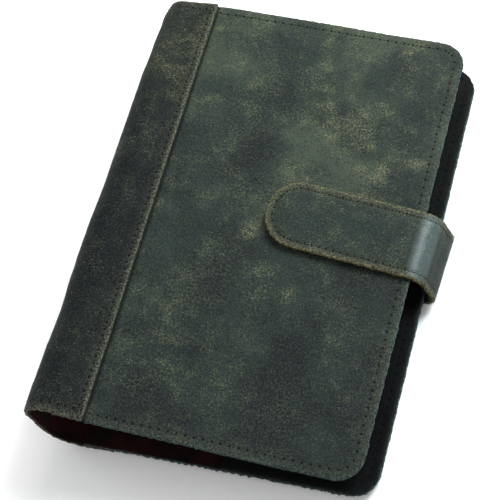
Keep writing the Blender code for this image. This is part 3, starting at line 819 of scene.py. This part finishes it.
SIDE_FLIP["flipped_cover_place"] = -1.0

back_threads = cover_side("back", -S_BACK, S_STRIP_BACK, STRAP_HALF)
front_threads = cover_side("front", S_FRONT, S_STRIP_FRONT)
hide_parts("back_edge_thread_head", "back_edge_thread_tail")
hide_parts("front_edge_thread")

# ------------------------------------------------------------------ spine strip


def bend_spine(item):
    """Bake a spine piece's placement into its mesh."""
    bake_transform(item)


def strip_end_seams(s_strip, way):
    seams = []
    for sign in (1, -1):
        y = sign * (HALF_H - EDGE_INSET)
        seams.append(Seam([(0.0, y), (s_strip - way * 0.9, y)], 2.7))
    return seams


for prefix, way, s_strip in (("front", 1.0, S_STRIP_FRONT), ("back", -1.0, S_STRIP_BACK)):
    ends = strip_end_seams(s_strip, way)
    s_seam = s_strip - way * STRIP_INSET
    side = Seam([(s_seam, -HALF_H + EDGE_INSET + 1.5), (s_seam, HALF_H - EDGE_INSET - 1.5)], STRIP_PITCH)
    strip = sheet(f"{prefix}_strip_leather", cover_place, 0.0, s_strip, HALF_H, STRIP_LEATHER,
                  STRIP_T, 0.02, 0.7, 0.0, seams=[side] + ends, open_start=True, seed=5 if way > 0 else 6,
                  wear_and_rim_light_width=1.3)
    bend_spine(strip)
    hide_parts(f"{prefix}_spine_wing", "spine_strip")
    paths = [stitch_paths(seam, cover_place, STRIP_T - STRAP_THREAD_SINK) for seam in ends + [side]]
    threads = tubes(f"{prefix}_strip_stitches", np.concatenate(paths), THREAD_R, THREAD)
    bend_spine(threads)
    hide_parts(f"{prefix}_spine_seam_thread", "spine_head_thread", "spine_tail_thread")
    liner = sheet(f"{prefix}_spine_liner", cover_place, 0.0, way * (S_PANEL + 6.0), HALF_H - 0.2,
                  LINING_LEATHER, -0.03, -0.9, 1.2, round_out=0.2, round_in=0.2, open_start=True, seed=7)
    bend_spine(liner)
    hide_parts("spine_liner")

# ------------------------------------------------------------------ closing strap

UP_FULL = math.pi / 2 - FRONT_TILT
S_TAB_FLAT = STRAP_HALF_SIDE + UP_R * UP_FULL
S_TIP = S_TAB_FLAT + (STRAP_OUT - UP_R + UP_R * math.sin(FRONT_TILT) - TAB_TIP) / math.cos(FRONT_TILT)
S_LOW_FLAT = -(STRAP_HALF_SIDE + LOW_R * math.pi / 2)
S_SEWN = S_LOW_FLAT - (STRAP_OUT - LOW_R - SEWN_END)


def bend_strap(item):
    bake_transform(item)


tab_seam = Seam(rounded_run(0.0, S_TIP, STRAP_HALF, STRAP_HALF - 0.6, STRAP_INSET), STRAP_PITCH)
seam_y = STRAP_HALF - STRAP_INSET
low_seams = [Seam([(0.0, y), (S_LOW_FLAT - 2.0, y)], STRAP_PITCH) for y in (seam_y, -seam_y)]
box_far, box_near = S_SEWN + STRAP_INSET, S_LOW_FLAT - 4.0
box_corners = [(box_near, -seam_y), (box_near, seam_y), (box_far, seam_y), (box_far, -seam_y)]
low_seams.append(Seam(box_corners, STRAP_PITCH, True))


def strap_piece(item, way, slot, *nodes):
    """Bake a strap mesh's placement and hide the CAD parts it replaces."""
    bend_strap(item)
    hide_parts(*nodes)


def strap_half(part, way, s_end, nose, seams, leather_nodes, lining_nodes, thread_nodes):
    """One half of the strap, from half way up its side: leather, lining and stitches."""
    outer = sheet(f"strap_{part}_leather", strap_place, 0.0, s_end, STRAP_HALF, STRAP_LEATHER,
                  0.0, -STRAP_T, 0.6, nose, seams=seams, open_start=True, seed=8, wear_and_rim_light_width=1.3)
    strap_piece(outer, way, "strap_leather", *leather_nodes)
    under_end = s_end - (0.2 if way > 0 else 0.0)
    under = sheet(f"strap_{part}_underside", strap_place, 0.0, under_end, STRAP_HALF - 0.2, INNER_LEATHER,
                  -STRAP_T, -STRAP_T - STRAP_LINING_T, 1.0, max(nose - 0.2, 0.0), round_out=0.15,
                  open_start=True, seed=9)
    strap_piece(under, way, "lining_leather", *lining_nodes)
    paths = [stitch_paths(seam, strap_place, -STRAP_THREAD_SINK) for seam in seams]
    threads = tubes(f"strap_{part}_stitches", np.concatenate(paths), STRAP_THREAD_R, THREAD)
    strap_piece(threads, way, "waxed_thread", *thread_nodes)


strap_half("tab", 1, S_TIP, STRAP_HALF - 0.6, [tab_seam], ("strap_tab", "strap_side"),
           ("strap_tab_lining", "strap_side_lining"),
           ("strap_tab_thread", "strap_side_thread_head", "strap_side_thread_tail"))
strap_half("sewn", -1, S_SEWN, 0.0, low_seams, ("strap_sewn_end",), ("strap_sewn_end_lining",),
           ("strap_sewn_end_thread",))


def rim_fibres(name, place, points, outs, levels, length, radius=0.035):
    """Loose fibres standing off a cut edge; points and outs are (s, y) and the way off the edge."""
    points, outs = np.asarray(points, float), np.asarray(outs, float)
    roots = place(points[:, 0], points[:, 1], levels)
    ends = place(points[:, 0] + outs[:, 0], points[:, 1] + outs[:, 1], levels)
    way = ends - roots
    way /= np.linalg.norm(way, axis=1, keepdims=True)
    return hairs(name, roots, way, length, radius, FIBRE)


def side_points(s_low, s_high, count, half):
    """Random (s, y) on both long edges of a sheet, with the outward way."""
    s = random.uniform(s_low, s_high, count)
    sign = random.choice([-1.0, 1.0], count)
    return np.stack([s, sign * (half - ROOT_DEPTH)], axis=1), np.stack([0 * s, sign], axis=1)


ROOT_DEPTH = 0.1
FIBRE_LENGTH = 0.55
TUFT_LENGTH = 1.1
TAB_SIDE_FIBRES, TAB_NOSE_FIBRES, LOW_SIDE_FIBRES, TUFT_FIBRES = 520, 180, 260, 40
NOSE_R = STRAP_HALF - 0.6
S_TIP_STRAIGHT = S_TIP - NOSE_R


def tab_fibres():
    """Fibres on both long edges of the tab and round its nose."""
    points, outs = side_points(0.0, S_TIP_STRAIGHT, TAB_SIDE_FIBRES, STRAP_HALF)
    angle = random.uniform(-np.pi / 2, np.pi / 2, TAB_NOSE_FIBRES)
    nose = np.stack([S_TIP_STRAIGHT + (NOSE_R - ROOT_DEPTH) * np.cos(angle),
                     (NOSE_R + 0.5) * np.sin(angle)], axis=1)
    points = np.concatenate([points, nose])
    outs = np.concatenate([outs, np.stack([np.cos(angle), np.sin(angle)], axis=1)])
    levels = random.uniform(-2.0, -0.1, len(points))
    return rim_fibres("strap_tab_fibres", strap_place, points, outs, levels, FIBRE_LENGTH)


def sewn_fibres():
    """Fibres on the strap's lower half, with a longer tuft on each edge of its side."""
    points, outs = side_points(S_LOW_FLAT - 12.0, 0.0, LOW_SIDE_FIBRES, STRAP_HALF)
    for sign, s_tuft in ((1.0, -4.5), (-1.0, -2.0)):
        edge = np.full(TUFT_FIBRES, sign * (STRAP_HALF - ROOT_DEPTH))
        tuft = np.stack([random.normal(s_tuft, 0.45, TUFT_FIBRES), edge], axis=1)
        points = np.concatenate([points, tuft])
        outs = np.concatenate([outs, np.tile([[0.0, sign]], (TUFT_FIBRES, 1))])
    lengths = np.full(len(points), FIBRE_LENGTH)
    lengths[LOW_SIDE_FIBRES:] = TUFT_LENGTH
    levels = random.uniform(-2.0, 0.1, len(points))
    return rim_fibres("strap_sewn_fibres", strap_place, points, outs, levels, lengths)


bend_strap(tab_fibres())
bend_strap(sewn_fibres())

MAGNET_S = S_TIP - 14.5
MAGNET_SIDES = 32


def magnet_disc():
    """The tab's magnet: a thin bevelled disc between the leather and its lining."""
    around = 2 * np.pi * np.arange(MAGNET_SIDES) / MAGNET_SIDES
    rings = [strap_place(MAGNET_S + r * np.cos(around), r * np.sin(around), h)
             for r, h in ((4.7, -1.05), (5.0, -1.15), (5.0, -1.45), (4.7, -1.55))]
    last = (len(rings) - 1) * MAGNET_SIDES
    faces = [list(range(MAGNET_SIDES)), [last + k for k in reversed(range(MAGNET_SIDES))]]
    for level in range(len(rings) - 1):
        for k in range(MAGNET_SIDES):
            near, far = level * MAGNET_SIDES + k, level * MAGNET_SIDES + (k + 1) % MAGNET_SIDES
            faces.append([near + MAGNET_SIDES, far + MAGNET_SIDES, far, near])
    return make_object("tab_magnet_disc", np.concatenate(rings), faces, NICKEL, False)


magnet = magnet_disc()
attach(magnet, "strap_tab")
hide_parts("tab_magnet")

striker = frame["nodes"]["front_striker_plate"]
striker.data.materials.clear()
striker.data.materials.append(NICKEL)

# ------------------------------------------------------------------ stage

FLOOR_GAP = 0.25     # the uneven sewn end reaches a little below z = 0


def floor():
    mesh = bpy.data.meshes.new("floor")
    size = 3.0
    corners = [(-size, -size, 0), (size, -size, 0), (size, size, 0), (-size, size, 0)]
    mesh.from_pydata(corners, [], [(0, 1, 2, 3)])
    g = Graph("floor_paint")
    field = g.noise(g.node("ShaderNodeTexCoord").outputs["Object"], 3.0)
    g.put(g.shader.inputs["Base Color"], g.mix(field, (0.86, 0.86, 0.86, 1), (0.9, 0.9, 0.9, 1)))
    g.shader.inputs["Roughness"].default_value = 0.9
    mesh.materials.append(g.material)
    item = bpy.data.objects.new("floor", mesh)
    item.location.z = -FLOOR_GAP * MM
    bpy.context.scene.collection.objects.link(item)


floor()


def area_light(name, place, aim, width, height, power, colour=(1, 1, 1)):
    light = bpy.data.lights.new(name, "AREA")
    light.shape = "RECTANGLE"
    light.size = width
    light.size_y = height
    light.energy = power
    light.color = colour
    item = bpy.data.objects.new(name, light)
    item.location = place
    item.rotation_euler = (Vector(aim) - Vector(place)).to_track_quat("-Z", "Y").to_euler()
    bpy.context.scene.collection.objects.link(item)


area_light("key", (0.40, 0.48, 0.70), (0.05, 0.0, 0.01), 0.24, 0.45, 7.6, (0.80, 0.95, 1.0))
area_light("top_soft", (0.15, 0.42, 0.45), (0, 0.06, 0), 0.6, 0.4, 3.8, (1.0, 0.99, 0.94))
area_light("left_fill", (-0.95, 0.05, 0.75), (0, 0, 0), 0.6, 0.8, 3.0, (0.95, 0.98, 1.0))

world = bpy.data.worlds.new("studio")
world.use_nodes = True
world.node_tree.nodes["Background"].inputs[0].default_value = (1.0, 1.0, 1.0, 1.0)
world.node_tree.nodes["Background"].inputs[1].default_value = 0.77
bpy.context.scene.world = world
bpy.context.scene.view_settings.view_transform = "Standard"

AZIMUTH, ELEVATION, ROLL = math.radians(41.875), math.radians(59.314), math.radians(-29.684)
TARGET = Vector((-10.64, -0.59, 2.7)) * MM
DISTANCE = 543.6 * MM
SENSOR, LENS = 36.0, 109.944

camera = bpy.data.cameras.new("camera")
camera.sensor_width = SENSOR
camera.lens = LENS
camera_item = bpy.data.objects.new("camera", camera)
bpy.context.scene.collection.objects.link(camera_item)
back_way = Vector((math.sin(AZIMUTH) * math.cos(ELEVATION), -math.cos(AZIMUTH) * math.cos(ELEVATION),
                   math.sin(ELEVATION)))
right_way = Vector((math.cos(AZIMUTH), math.sin(AZIMUTH), 0))
up_way = back_way.cross(right_way)
x_way = math.cos(ROLL) * right_way + math.sin(ROLL) * up_way
y_way = -math.sin(ROLL) * right_way + math.cos(ROLL) * up_way
turn = Matrix((x_way, y_way, back_way)).transposed().to_4x4()
camera_item.matrix_world = Matrix.Translation(TARGET + back_way * DISTANCE) @ turn
bpy.context.scene.camera = camera_item
